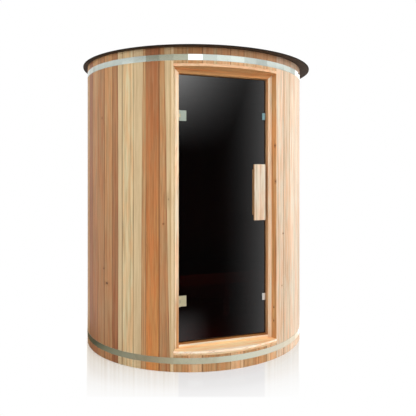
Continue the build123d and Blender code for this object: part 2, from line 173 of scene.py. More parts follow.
class Finish:
    """The nodes of a new material or world, written as Python."""

    def __init__(self, name, kinds="materials"):
        self.owner = getattr(bpy.data, kinds).new(name)
        self.owner.use_nodes = True
        self.tree = self.owner.node_tree
        self.tree.nodes.clear()

    def node(self, kind, settings=None, sockets=None):
        """Adds a node, its kind without the ShaderNode in front."""
        made = self.tree.nodes.new("ShaderNode" + kind)
        for key, value in (settings or {}).items():
            setattr(made, key, value)
        for key, value in (sockets or {}).items():
            if isinstance(value, Wire):
                self.tree.links.new(value.socket, made.inputs[key])
            else:
                made.inputs[key].default_value = value
        return made

    def wire(self, kind, settings=None, sockets=None, output=0):
        return Wire(self, self.node(kind, settings, sockets).outputs[output])

    def attribute(self, name, output):
        return self.wire("Attribute", {"attribute_name": name}, {}, output)

    def place(self):
        return self.wire("TexCoord", {}, {}, "Object")

    def split(self, vector):
        made = self.node("SeparateXYZ", {}, {0: vector})
        return [Wire(self, socket) for socket in made.outputs]

    def vector(self, operation, *terms, output=0):
        return self.wire("VectorMath", {"operation": operation}, dict(enumerate(terms)), output)

    def stretched(self, vector, factors):
        return self.vector("MULTIPLY", vector, factors)

    def length(self, vector):
        return self.vector("LENGTH", vector, output="Value")

    def noise(self, vector, factors, detail=2.0, roughness=0.5):
        sockets = {"Vector": self.stretched(vector, factors), "Scale": 1.0, "Detail": detail, "Roughness": roughness}
        return self.wire("TexNoise", {}, sockets)

    def line_noise(self, number, detail=1.0):
        return self.wire("TexNoise", {"noise_dimensions": "1D"}, {"W": number, "Scale": 1.0, "Detail": detail})

    def mix(self, factor, first, second):
        return self.wire("Mix", {"data_type": "RGBA", "clamp_factor": True}, {0: factor, 6: first, 7: second}, 2)

    def tinted(self, colour, factors):
        if not isinstance(colour, Wire):
            return opaque([part * factor for part, factor in zip(colour, factors)])
        return self.stretched(colour, factors)

    def bright_ramp(self, stops, place):
        """A colour ramp whose colours may be brighter than 1."""
        top = max(max(colour) for _, colour in stops)
        ramp = self.node("ValToRGB", {}, {0: place})
        elements = ramp.color_ramp.elements
        while len(elements) < len(stops):
            elements.new(0.5)
        for element, (at, colour) in zip(elements, stops):
            element.position = at
            element.color = opaque([part / top for part in colour])
        return self.tinted(Wire(self, ramp.outputs[0]), (top, top, top))

    def cells(self, vector):
        """Distance to the nearest of scattered points, and a number that differs from point to point."""
        made = self.node("TexVoronoi", {}, {"Vector": vector, "Scale": 1.0})
        return Wire(self, made.outputs["Distance"]), self.split(Wire(self, made.outputs["Color"]))[0]

    def bump(self, height, distance, strength=1.0):
        return self.wire("Bump", {}, {"Height": height, "Distance": distance, "Strength": strength}, "Normal")

    def surface(self, sockets):
        """Ends the nodes with a Principled shader and gives the material."""
        self.node("OutputMaterial", {}, {"Surface": self.wire("BsdfPrincipled", {}, sockets)})
        return self.owner

    def ray(self, kind):
        return self.wire("LightPath", {}, {}, "Is " + kind + " Ray")

    def seen(self):
        """1 on rays that come from the camera, straight or through glass."""
        return self.ray("Camera").highest(self.ray("Transmission"))

    def glow(self, colour):
        return self.wire("Emission", {}, {"Color": colour, "Strength": 1.0})

    def blend(self, factor, first, second):
        return self.wire("MixShader", {}, {0: factor, 1: first, 2: second})


def opaque(colour):
    """The colour with an alpha of 1."""
    return (*colour, 1.0)


def wood_knots(wood, grain, marks):
    """Masks of the knots and of the halos round them: a few scattered ones and those at the marks."""
    distance, number = wood.cells(wood.stretched(grain, (4.2, 4.2, 2.6)))
    chosen = number.rise(0.72, 0.73)
    knot = (1 - distance.rise(0.018, 0.045)) * chosen
    halo = (1 - distance.rise(0.03, 0.22)) * chosen
    for spot, factors, size in marks:
        away = wood.length(wood.stretched(wood.vector("SUBTRACT", wood.place(), spot), factors))
        knot = knot.highest(1 - away.rise(size * 0.55, size * 1.15))
        halo = halo.highest(1 - away.rise(size, size * 3.2))
    return knot, halo


def wood_material(name, sapwood="cream", streaks=0.8, polish=0.5, marks=(), tints_and_painted_light=None):
    """Sawn wood cut from a trunk: rings round the pith, slow streaks, sapwood, knots, fibres, and tints that the caller
    gives, among them painted highlights and painted shade.
    """
    ring_width = bpy.context.scene.sauna_sizes.ring_width
    sapwood = opaque(getattr(bpy.context.scene.sauna_tones, sapwood))
    wood = Finish(name)
    grain = wood.attribute("grain", "Vector")
    heartwood = wood.attribute("heartwood", "Color")
    sap_edge = wood.attribute("sap_edge", "Fac")
    end_grain = wood.attribute("end_grain", "Fac")
    seat, left_seam, right_seam = wood.split(wood.attribute("seams", "Vector"))
    across, through, along = wood.split(grain)
    knot, halo = wood_knots(wood, grain, marks)

    drift = wood.noise(grain, (2.4, 2.4, 0.9)) - 0.5
    ripple = wood.noise(grain, (30.0, 30.0, 4.0), 3.0) - 0.5
    distance = (across * across + through * through) ** 0.5
    radius = distance + drift * 0.06 + ripple * 0.005 + halo * 0.012
    ring = (radius / ring_width + drift * 2.0).fraction()
    late = ring.rise(0.35, 0.93) * (1 - ring.rise(0.95, 1.0))
    band = wood.line_noise(radius * 62.0 + along * 0.15, 2.0)
    fibre = wood.noise(grain, (820.0, 820.0, 16.0), 2.0)
    patch = wood.noise(grain, (9.0, 9.0, 1.7), 2.0)
    mottle = wood.noise(grain, (95.0, 95.0, 4.0), 3.0, 0.62)
    dark_line = wood.noise(grain, (230.0, 230.0, 1.8), 2.0).rise(0.55, 0.75)
    warmth = wood.noise(grain, (38.0, 38.0, 4.5), 3.0, 0.6).rise(0.34, 0.66)
    seam = (seat * -1).rise(0.84, 0.94) * left_seam + seat.rise(0.84, 0.94) * right_seam

    beyond = distance + ripple * 0.004 + drift * 0.012 - sap_edge
    sap = beyond.rise(-0.001, 0.002)
    rim = beyond.rise(-0.009, -0.003) * (1 - sap)
    warm = wood.mix(warmth, wood.tinted(heartwood, (0.96, 1.06, 1.1)), wood.tinted(heartwood, (1.05, 0.93, 0.84)))
    base = wood.mix(sap, warm, sapwood)
    deep = wood.tinted(base, (0.62, 0.49, 0.38))
    light = wood.tinted(base, (1.14, 1.16, 1.2))
    broad = (band - 0.5) * streaks + (patch - 0.5) * 0.8 * streaks + (mottle - 0.5) * 1.8 + dark_line * 0.45
    depth = late * 0.25 + broad * (1 - sap * 0.45) + (fibre - 0.5) * 0.3 + rim * 0.35
    shown = wood.mix(depth + 0.12, light, deep)
    shown = wood.mix(seam, shown, wood.tinted(base, (0.3, 0.19, 0.12)))
    shown = wood.mix(end_grain * 0.45, shown, wood.tinted(base, (0.55, 0.42, 0.32)))
    shown = wood.mix(halo * 0.3, shown, deep)
    shown = wood.mix(knot * 0.9, shown, wood.tinted(base, (0.22, 0.13, 0.08)))
    # Tints from the caller; some of them are painted highlights and painted shade.
    for strength, factors in tints_and_painted_light(wood) if tints_and_painted_light else ():
        shown = wood.mix(strength, shown, wood.tinted(shown, factors))
    height = fibre * 0.6 - late * 0.3 + ripple * 0.3
    return wood.surface({
        "Base Color": shown,
        "Roughness": 0.62 - polish * 0.25 + (fibre - 0.5) * 0.3 + late * 0.06,
        "IOR": 1.38,
        "Normal": wood.bump(height, 0.25 * MM, 0.5),
    })


def steel_material(name, colour, rough, metallic=1.0, low_reflection_colour=None):
    """Rolled or satin steel with faint streaks and dull patches; given a lower colour, it changes colour with height as
    a painted reflection of the studio.
    """
    steel = Finish(name)
    place = steel.place()
    streak = steel.noise(place, (40.0, 40.0, 900.0), 2.0)
    cloud = steel.noise(place, (11.0, 11.0, 11.0), 4.0, 0.6)
    speck = steel.noise(place, (420.0, 420.0, 420.0), 2.0)
    dull = cloud.rise(0.5, 0.72) * 0.5
    # Painted reflection: the colour goes from the lower to the upper colour with height.
    with_painted_reflection = steel.mix(steel.split(place)[2].rise(0.7, 1.3), opaque(low_reflection_colour or colour), opaque(colour))
    shown = steel.mix(dull, with_painted_reflection, steel.tinted(with_painted_reflection, (0.78, 0.8, 0.76)))
    shown = steel.mix((streak - 0.5) * 0.5 + 0.1, shown, steel.tinted(shown, (0.8, 0.8, 0.8)))
    return steel.surface({
        "Base Color": shown,
        "Metallic": metallic,
        "Roughness": (dull * 0.35 + (streak - 0.5) * 0.35 + 1) * rough,
        "Normal": steel.bump(streak * 0.6 + speck * 0.4, rough * 0.12 * MM, 0.35),
    })


def glass_material(colour):
    """Smoked glass, even in colour, with a trace of dust in its gloss."""
    glass = Finish("smoked_glass")
    dust = glass.noise(glass.place(), (14.0, 14.0, 9.0), 4.0, 0.65)
    return glass.surface({
        "Base Color": opaque(colour),
        "Roughness": 0.03 + dust.rise(0.45, 0.8) * 0.03,
        "IOR": 1.5,
        "Specular IOR Level": 1.0,
        "Alpha": 0.84,
    })


def glass_edge_material():
    """Ground and polished edge of the glass, where the light comes out greenish."""
    edge = Finish("glass_edge")
    frost = edge.noise(edge.place(), (160.0, 160.0, 60.0), 2.0)
    shown = edge.mix(frost, opaque(paint(24, 34, 32)), opaque(paint(52, 66, 62)))
    return edge.surface({"Base Color": shown, "Roughness": 0.2 + frost * 0.2, "IOR": 1.5})


def felt_material(colour):
    """Mineral felt: small granules in bitumen, rubbed lighter here and there."""
    felt = Finish("roof_felt")
    place = felt.place()
    gap, stone = felt.cells(felt.stretched(place, (560.0, 560.0, 560.0)))
    rubbed = felt.noise(place, (3.0, 3.0, 3.0), 4.0, 0.6).rise(0.5, 0.75)
    shown = felt.mix(stone * 0.6, felt.tinted(opaque(colour), (0.55, 0.55, 0.55)), opaque(paint(42, 35, 29)))
    shown = felt.mix(rubbed * 0.25, shown, opaque(paint(56, 49, 41)))
    return felt.surface({
        "Base Color": shown,
        "Roughness": 0.86 + stone * 0.1,
        "Specular IOR Level": 0.2,
        "Normal": felt.bump(1 - gap, 0.5 * MM, 0.7),
    })


def sheet_material(colour):
    """Stained wood-fibre sheet, mottled, as the roof's underside."""
    sheet = Finish("roof_sheet")
    place = sheet.place()
    mottle = sheet.noise(place, (48.0, 48.0, 48.0), 3.0, 0.65)
    cloud = sheet.noise(place, (7.0, 7.0, 7.0), 3.0)
    fleck = sheet.noise(place, (190.0, 60.0, 190.0), 2.0)
    shown = sheet.mix(mottle.rise(0.35, 0.68), sheet.tinted(opaque(colour), (0.5, 0.5, 0.5)), opaque(colour))
    shown = sheet.mix(fleck.rise(0.56, 0.72) * 0.6, shown, opaque(paint(104, 92, 66)))
    shown = sheet.mix(cloud.rise(0.45, 0.7) * 0.4, shown, opaque(paint(50, 37, 25)))
    return sheet.surface({
        "Base Color": shown,
        "Roughness": 0.75,
        "Specular IOR Level": 0.25,
        "Normal": sheet.bump(mottle + fleck, 0.4 * MM, 0.5),
    })


Board = namedtuple("Board", "top bottom sap_side sap_top sap_bottom seam", defaults=(None, 0, 0.0, 0.0, 0.3))

RIGHT_STAVES = [
    Board("pale", "blush", seam=1.0), Board("blush", seam=0.2), Board("pale"), Board("pale"), Board("blush"),
    Board("pale"), Board("tan"),
]
LEFT_STAVES = [
    Board("rose"), Board("tan"), Board("brown"), Board("tan", "brown"), Board("rose", seam=0.7),
    Board("tan", "rose", seam=0.5), Board("rose", "brown", 1, 4 * MM, 6 * MM, 0.7), Board("cream"),
    Board("tan", "tan", -1, -23 * MM, -8 * MM), Board("brown", "orange", seam=0.8),
    Board("tan", "rose", 1, -14 * MM, 22 * MM, 0.1),
]
HEADER_STAVES = [
    Board("tan", "tan", 1, 38 * MM, 38 * MM), Board("tan", seam=0.6), Board("biscuit", "biscuit", 1, 26 * MM, 26 * MM),
    Board("biscuit", seam=0.8), Board("biscuit"), Board("biscuit", seam=0.6), Board("biscuit"), Board("biscuit"),
]
SILL_STAVES = [
    Board("tan"), Board("biscuit", seam=0.9), Board("tan"), Board("tan", seam=0.5), Board("biscuit", seam=0.9),
    Board("tan", seam=0.3), Board("tan", seam=0.8), Board("biscuit"),
]
WALL_KNOTS = (
    ((-0.709, -0.371, 0.500), (1.0, 0.45, 1.0), 9 * MM),
    ((-0.724, -0.340, 0.593), (1.0, 0.8, 1.0), 6 * MM),
    ((-0.734, -0.318, 1.587), (1.0, 1.0, 0.8), 5 * MM),
    ((-0.405, -0.690, 0.908), (1.0, 1.0, 1.0), 4 * MM),
    ((0.417, -0.683, 0.817), (1.0, 1.0, 1.0), 6 * MM),
    ((0.405, -0.690, 0.469), (1.0, 1.0, 0.7), 4 * MM),
    ((0.343, -0.712, 1.404), (1.0, 1.0, 0.8), 5 * MM),
    ((0.345, -0.716, 1.167), (1.0, 1.0, 0.6), 5 * MM),
    ((0.339, -0.703, 0.333), (1.0, 1.0, 0.8), 5 * MM),
    ((0.339, -0.703, 0.244), (1.0, 1.0, 0.5), 4 * MM),
)
HEARTWOODS = ["brown", "red", "rose", "tan", "tan", "orange", "biscuit"]


def mixed_boards(count, chance, names=HEARTWOODS):
    """A usual mixture of boards, about one in four with sapwood at one edge."""
    boards = []
    for _ in range(count):
        first = chance.choice(names)
        second = chance.choice([first, first, chance.choice(names)])
        side = chance.choice([0, 0, 0, -1, 1])
        cut = chance.uniform(0, 30) * MM, chance.uniform(0, 30) * MM
        boards.append(Board(first, second, side, *cut, chance.uniform(0.1, 0.8)))
    return boards


def switch(mode):
    """Enters edit mode or object mode."""
    bpy.ops.object.mode_set(mode=mode)


def pick(*pieces):
    """Selects only these objects, with the last one active."""
    bpy.ops.object.select_all(action="DESELECT")
    for piece in pieces:
        piece.select_set(True)
    bpy.context.view_layer.objects.active = pieces[-1]


def dressed_copy(node, name, edge=0.0, smooth_angle=30):
    """A new piece with the node's shape, closed and with a small round on its edges."""
    piece = bpy.data.objects.new(name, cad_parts[node].data.copy())
    piece.data.name = name
    bpy.context.scene.collection.objects.link(piece)
    piece.data.materials.clear()
    pick(piece)
    switch("EDIT")
    bpy.ops.mesh.select_all(action="SELECT")
    bpy.ops.mesh.remove_doubles(threshold=0.01 * MM)
    bpy.ops.mesh.dissolve_limited(angle_limit=math.radians(0.5))
    switch("OBJECT")
    bpy.ops.mesh.customdata_custom_splitnormals_clear()
    bpy.ops.object.shade_smooth_by_angle(angle=math.radians(smooth_angle))
    if edge:
        rounding = piece.modifiers.new("Eased edges", "BEVEL")
        rounding.width = edge
        rounding.segments = 2
        rounding.limit_method = "ANGLE"
        rounding.angle_limit = math.radians(50)
        rounding.harden_normals = True
        bpy.ops.object.modifier_apply(modifier=rounding.name)
    return piece


def loose_boards(mesh):
    """The vertex numbers of each loose board of a mesh."""
    neighbours = [[] for _ in mesh.vertices]
    for edge in mesh.edges:
        first, second = edge.vertices
        neighbours[first].append(second)
        neighbours[second].append(first)
    boards, seen = [], set()
    for start in range(len(neighbours)):
        if start in seen:
            continue
        seen.add(start)
        board = [start]
        for number in board:
            fresh = [other for other in neighbours[number] if other not in seen]
            seen.update(fresh)
            board += fresh
        boards.append(board)
    return boards


def board_axes(run, low, high, centre):
    """Directions across, through and along a board's grain."""
    if run == "stave":
        out = Vector((centre.x, centre.y, 0)).normalized()
        return Vector((-out.y, out.x, 0)), out, Vector((0, 0, 1))
    along = "xyz".index(run)
    size = high - low
    through = min({0, 1, 2} - {along}, key=lambda axis: size[axis])
    across = 3 - along - through
    return [Vector([float(i == axis) for i in range(3)]) for axis in (across, through, along)]


GRAIN_ATTRIBUTES = (
    ("grain", "FLOAT_VECTOR", "POINT"),
    ("sap_edge", "FLOAT", "POINT"),
    ("heartwood", "FLOAT_COLOR", "CORNER"),
    ("end_grain", "FLOAT", "FACE"),
    ("seams", "FLOAT_VECTOR", "POINT"),
)


def measured_boards(mesh, run):
    """Vertex numbers, corners and centre of each board, round the barrel or from row to row."""
    found = []
    for numbers in loose_boards(mesh):
        places = [mesh.vertices[i].co for i in numbers]
        low, high = [Vector([end(p[axis] for p in places) for axis in range(3)]) for end in (min, max)]
        found.append((numbers, low, high, (low + high) / 2))
    if run == "stave":
        found.sort(key=lambda one: (math.atan2(one[3].y, one[3].x) - DOORWAY_RIGHT_EDGE) % math.tau)
    else:
        found.sort(key=lambda one: tuple(round(v, 3) for v in one[3]))
    return found


def lay_grain(piece, run, boards, chance, tones, tone_of=None):
    """Gives each board of a piece its own cut from a trunk and its own tone."""
    mesh = piece.data
    for name, kind, domain in GRAIN_ATTRIBUTES:
        mesh.attributes.new(name, kind, domain)
    layers = [mesh.attributes[name].data for name, _, _ in GRAIN_ATTRIBUTES]
    grain, sap_edge, heartwood, end_grain, seams = layers
    board_of = {}
    for index, (numbers, low, high, centre) in enumerate(measured_boards(mesh, run)):
        board = boards[index % len(boards)]
        across, through, along = board_axes(run, low, high, centre)
        side = board.sap_side or chance.choice([-1, 1])
        pith = chance.uniform(60, 170) * MM
        depth = chance.uniform(25, 90) * MM
        shift = chance.uniform(0, 40)
        seam = (0.0, board.seam) if run == "stave" else (0.0, 0.0)
        offsets = [mesh.vertices[i].co - centre for i in numbers]
        reach = [offset.dot(along) for offset in offsets]
        face = max(offset.dot(through) for offset in offsets)
        width = [offset.dot(across) for offset in offsets if offset.dot(through) > face - 3 * MM]
        middle, half = (max(width) + min(width)) / 2, (max(width) - min(width)) / 2
        for i, offset in zip(numbers, offsets):
            seat = offset.dot(across) - middle
            spot = (side * seat + pith, offset.dot(through) - depth, offset.dot(along) + shift)
            grain[i].vector = spot
            up = (offset.dot(along) - min(reach)) / (max(reach) - min(reach))
            sap_from = board.sap_bottom + (board.sap_top - board.sap_bottom) * up
            sap_edge[i].value = math.hypot(pith + sap_from, face - depth) if board.sap_side else 10.0
            seams[i].vector = (seat / half, *seam)
        shade = chance.uniform(0.94, 1.06)
        for i in numbers:
            board_of[i] = (board, low, high, across, along, shade)
    for face in mesh.polygons:
        board, low, high, across, along, shade = board_of[face.vertices[0]]
        end_grain[face.index].value = float(abs(face.normal.dot(along)) > 0.9)
        own = tone_of and tone_of(face)
        top = Vector(getattr(tones, own or board.top))
        bottom = Vector(getattr(tones, own or board.bottom or board.top))
        axis = max(range(3), key=lambda i: abs(along[i]))
        for corner in face.loop_indices:
            place = mesh.vertices[mesh.loops[corner].vertex_index].co
            up = (place[axis] - low[axis]) / max(high[axis] - low[axis], 1e-6)
            heartwood[corner].color = (*(bottom.lerp(top, up) * shade), 1.0)


def put_in(piece, body, slot, *nodes):
    """Puts a new piece on the body it rides on and hides the nodes it stands for; its slot is not used."""
    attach(piece, body)
    if nodes:
        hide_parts(*nodes)
    return piece


def board_piece(node, name, body, slot, run, boards, chance, material, tone_of=None):
    """A wooden piece in place of a node, its boards eased at their edges and given their grain."""
    scene = bpy.context.scene
    piece = dressed_copy(node, name, scene.sauna_sizes.board_edge)
    lay_grain(piece, run, boards, chance, scene.sauna_tones, tone_of)
    piece.data.materials.append(material)
    return put_in(piece, body, slot, node)


def plain_piece(node, name, body, slot, material, edge=None, smooth_angle=30):
    """A piece of one material in place of a node, with its edges eased."""
    edge = bpy.context.scene.sauna_sizes.plate_edge if edge is None else edge
    piece = dressed_copy(node, name, edge, smooth_angle=smooth_angle)
    piece.data.materials.append(material)
    return put_in(piece, body, slot, node)


class SAUNA_OT_staves(bpy.types.Operator):
    """Wall of staves, with the short staves over and under the doorway"""
    bl_idname = "sauna.staves"
    bl_label = "Staves"

    def execute(self, context):
        chance = random.Random(56)
        doorway_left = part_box("sill_staves")[0][0]
        hoop_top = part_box("top_hoop")[1][2]

        # Tints on the staves: a paler strip and a tan strip on the front beside the doorway, and painted shade on the
        # tops above the top hoop.
        def doorway_strips_and_roof_shade(wood):
            x, y, z = wood.split(wood.place())
            outside = (1 - y.past(-697.5 * MM, 2.5 * MM)) * (1 - x.past(doorway_left - 0.6 * MM, 0.5 * MM))
            beside = x.within(doorway_left - 20.1 * MM, doorway_left - 14.1 * MM, 1 * MM)
            # Painted shade: the staves' tops, which the roof shades, are painted browner, more on the right.
            roof_shade = z.rise(hoop_top - 25.5 * MM, hoop_top + 4.5 * MM) * x.rise(-0.78, -0.15)
            return (
                (outside * x.past(doorway_left - 13.1 * MM), (1.27, 1.3, 1.4)),
                (outside * beside, (0.96, 0.86, 0.74)),
                (roof_shade, (0.55, 0.48, 0.44)),
            )

        material = wood_material("stave_cedar", marks=WALL_KNOTS, tints_and_painted_light=doorway_strips_and_roof_shade)
        hidden = STAVE_COUNT - DOORWAY_STAVES - len(RIGHT_STAVES) - len(LEFT_STAVES)
        wall = RIGHT_STAVES + mixed_boards(hidden, chance) + LEFT_STAVES
        panels = sorted(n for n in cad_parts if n.startswith("wall_staves_"))
        each = len(wall) // len(panels)

        # Painted light and shade on the doorway's sawn sides: the right one, facing away from the lamps, is painted
        # darker amber, and the left one, facing them, pale peach.
        def doorway_sides_lit_and_shaded(face):
            out = Vector((face.center.x, face.center.y, 0)).normalized()
            angle = math.atan2(out.x, -out.y)
            sawn = abs(face.normal.x * out.y - face.normal.y * out.x) > 0.6
            if not sawn or abs(abs(angle) - DOORWAY_HALF_ANGLE) > 0.004:
                return None
            return "amber" if angle > 0 else "peach"

        for i, node in enumerate(panels):
            boards = wall[i * each:(i + 1) * each]
            name = node.replace("wall_staves", "stave_panel")
            board_piece(node, name, "cabin", "stave_wood", "stave", boards, chance, material, doorway_sides_lit_and_shaded)
        for node, boards in (("header_staves", HEADER_STAVES), ("sill_staves", SILL_STAVES)):
            board_piece(node, "short_" + node, "cabin", "stave_wood", "stave", boards, chance, material)
        return {"FINISHED"}


class SAUNA_OT_hoops(bpy.types.Operator):
    """Two flat steel hoops with their bolts and nuts"""
    bl_idname = "sauna.hoops"
    bl_label = "Hoops"

    def execute(self, context):
        finishes = context.scene.sauna_finishes
        band = steel_material("hoop_steel", finishes.hoop, 0.07)
        zinc = steel_material("bolt_zinc", finishes.zinc, 0.3)
        for node in ("top_hoop", "bottom_hoop"):
            plain_piece(node, node + "_band", "cabin", "hoop_steel", band, 0.3 * MM, 4)
        for node in ("hoop_bolts", "hoop_nuts"):
            plain_piece(node, node + "_zinc", "cabin", "hoop_steel", zinc, 0.8 * MM)
        return {"FINISHED"}


class SAUNA_OT_roof(bpy.types.Operator):
    """Roof sheet and the felt over it"""
    bl_idname = "sauna.roof"
    bl_label = "Roof"

    def execute(self, context):
        finishes = context.scene.sauna_finishes
        plain_piece("roof_sheet", "roof_disc", "cabin", "roof_wood", sheet_material(finishes.sheet), 0)
        plain_piece("roof_felt", "roof_covering", "cabin", "roof_felt", felt_material(finishes.felt), 0.6 * MM)
        return {"FINISHED"}


class SAUNA_OT_boards(bpy.types.Operator):
    """Floor and ceiling boards and the bearers under the floor"""
    bl_idname = "sauna.boards"
    bl_label = "Floor and ceiling"

    def execute(self, context):
        chance = random.Random(12)
        material = wood_material("board_spruce")
        for node, run in (("floor_boards", "x"), ("ceiling_boards", "x"), ("floor_bearers", "y")):
            boards = mixed_boards(12, chance, ["biscuit", "tan", "peach", "pale"])
            board_piece(node, node + "_planed", "cabin", "board_wood", run, boards, chance, material)
        return {"FINISHED"}


class SAUNA_OT_doorway(bpy.types.Operator):
    """Curved boards and flat frame round the glass door"""
    bl_idname = "sauna.doorway"
    bl_label = "Doorway"

    def execute(self, context):
        chance = random.Random(31)

        # The sill rail's top face is painted orange as shade under the glass; the frame's sides get the clay tone.
        def reveal_tone_and_rail_top_shade(face):
            if face.normal.z > 0.9 and face.center.z < 0.2:
                return "orange"
            return "clay" if abs(face.normal.x) > 0.6 else None

        sill_low, sill_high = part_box("sill_board")
        rail_low, rail_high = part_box("frame_sill_rail")
        sill_middle = (sill_low[2] + sill_high[2]) / 2

        # Tints on the doorway boards: a grain strip on the left stile, and painted highlights and painted shade on the
        # sill.
        def doorway_tints_highlights_and_shade(wood):
            x, y, z = wood.split(wood.place())
            ahead, aside = y * -1, x.highest(x * -1)
            nose = ((x * x + y * y) ** 0.5).rise(-sill_low[1] - 3.5 * MM, -sill_low[1] - 2 * MM)
            upper = z.past(sill_middle, 2 * MM)
            # Paler front of the sill board: sapwood, with a painted highlight along the upper edge of the nose.
            front = ahead.past(774 * MM, 4 * MM).highest(nose) * upper * (1 - z.past(sill_high[2] + 4 * MM, 2 * MM))
            left = x.past(rail_low[0] - 16 * MM, 2 * MM) * (1 - x.past(rail_low[0], 5 * MM))
            low = z.past(sill_high[2] + 1 * MM) * (1 - z.rise(0.3, 0.62))
            # Painted highlight along the sill rail's top front edge.
            lip_highlight = z.within(rail_high[2] - 10.5 * MM, rail_high[2] + 2 * MM, 1.2 * MM)
            rail = ahead.past(-rail_low[1] - 1.8 * MM) * (1 - aside.past(rail_high[0], 0.5 * MM))
            return (
                (left * low, (0.78, 0.5, 0.3)),
                (lip_highlight * rail, (1.0, 1.35, 2.0)),
                (front, (0.95, 1.13, 1.57)),
                # Painted shade on the lower half of the sill's nose.
                (nose * (1 - upper), (0.72, 0.68, 0.68)),
            )

        # Painted shade: the head board's underside is painted a darker amber.
        def underside_painted_shade(face):
            return "amber" if face.normal.z < -0.6 else None

        material = wood_material("doorway_cedar", "peach", streaks=0.5, tints_and_painted_light=doorway_tints_highlights_and_shade)
        plan = (
            ("head_board", "curved_head_board", "x", Board("apricot"), underside_painted_shade),
            ("sill_board", "curved_sill_board", "x", Board("straw"), None),
            ("frame_left_stile", "left_stile", "z", Board("peach"), reveal_tone_and_rail_top_shade),
            ("frame_right_stile", "right_stile", "z", Board("peach"), reveal_tone_and_rail_top_shade),
            ("frame_head_rail", "head_rail", "x", Board("amber"), None),
            ("frame_sill_rail", "sill_rail", "x", Board("straw"), reveal_tone_and_rail_top_shade),
            ("latch_stop", "stop_strip", "z", Board("tan"), None),
        )
        for node, name, run, board, tone_of in plan:
            wood = board_piece(node, name, "cabin", "doorway_wood", run, [board], chance, material, tone_of)
            wood.visible_glossy = node != "sill_board"
        return {"FINISHED"}


class SAUNA_OT_bench(bpy.types.Operator):
    """Bench across the rear of the cabin"""
    bl_idname = "sauna.bench"
    bl_label = "Bench"

    def execute(self, context):
        chance = random.Random(7)
        material = wood_material("bench_cedar", polish=0.8)
        plan = (
            ("bench_slats", "seat_slats", "x"),
            ("bench_front_rail", "seat_front_rail", "x"),
            ("bench_ledger", "wall_ledger", "x"),
            ("bench_bearers", "seat_bearers", "y"),
            ("bench_legs", "seat_legs", "z"),
        )
        for node, name, run in plan:
            boards = mixed_boards(7, chance, ["tan", "biscuit", "rose"])
            board_piece(node, name, "cabin", "bench_wood", run, boards, chance, material)
        return {"FINISHED"}


class SAUNA_OT_glass_door(bpy.types.Operator):
    """Smoked glass leaf with polished edges"""
    bl_idname = "sauna.glass_door"
    bl_label = "Glass door"

    def execute(self, context):
        scene = context.scene
        smoked = glass_material(scene.sauna_finishes.glass)
        edge = scene.sauna_sizes.glass_edge
        glass = plain_piece("door_glass", "glass_leaf", "door", "smoked_glass", smoked, edge)
        glass.data.materials.append(glass_edge_material())
        for face in glass.data.polygons:
            face.material_index = int(abs(face.normal.y) < 0.9)
        return {"FINISHED"}


class SAUNA_OT_ironwork(bpy.types.Operator):
    """Hinges, catch plates and magnets of the door"""
    bl_idname = "sauna.ironwork"
    bl_label = "Hinges and catches"

    def execute(self, context):
        finishes = context.scene.sauna_finishes
        satin = steel_material("door_steel", finishes.plate, 0.3, metallic=0.5, low_reflection_colour=finishes.low_plate_reflection)
        leaf = steel_material("leaf_steel", finishes.leaf, 0.3, metallic=0.5)
        catch = steel_material("catch_steel", finishes.catch, 0.3, metallic=0.5, low_reflection_colour=finishes.low_catch_reflection)
        plan = (
            ("hinge_leaves", "hinge_frame_leaves", "cabin", leaf),
            ("hinge_pins", "hinge_axles", "cabin", satin),
            ("catch_magnets", "frame_magnets", "cabin", satin),
            ("hinge_clamps", "hinge_glass_clamps", "door", satin),
            ("hinge_backplates", "hinge_inner_plates", "door", satin),
            ("catch_plates", "latch_plates", "door", catch),
        )
        for node, name, body, steel in plan:
            plain_piece(node, name, body, "door_steel", steel)
        return {"FINISHED"}


class SAUNA_OT_handles(bpy.types.Operator):
    """Wooden pull handles on both sides of the glass"""
    bl_idname = "sauna.handles"
    bl_label = "Handles"

    def execute(self, context):
        chance = random.Random(3)
        material = wood_material("handle_ash", polish=1.0)

        # Painted shade: the grips' left sides are painted tan.
        def shaded_side_tone(face):
            return "tan" if face.normal.x < -0.6 else None

        for node, name in (("handle_grips", "pull_grips"), ("handle_spacers", "pull_spacers")):
            wood = board_piece(node, name, "door", "handle_wood", "z", [Board("pale")], chance, material, shaded_side_tone)
            wood.visible_glossy = False
        return {"FINISHED"}


UP = (0, 0, 1)


def pairs(middles, spread):
    """Two numbers for each middle, as far below it as above it."""
    return [middle + side * spread for middle in middles for side in (-1, 1)]


def grid(xs, ys, zs, normal):
    """Every place that these coordinates make, each with the normal."""
    return [((x, y, z), normal) for x in xs for y in ys for z in zs]


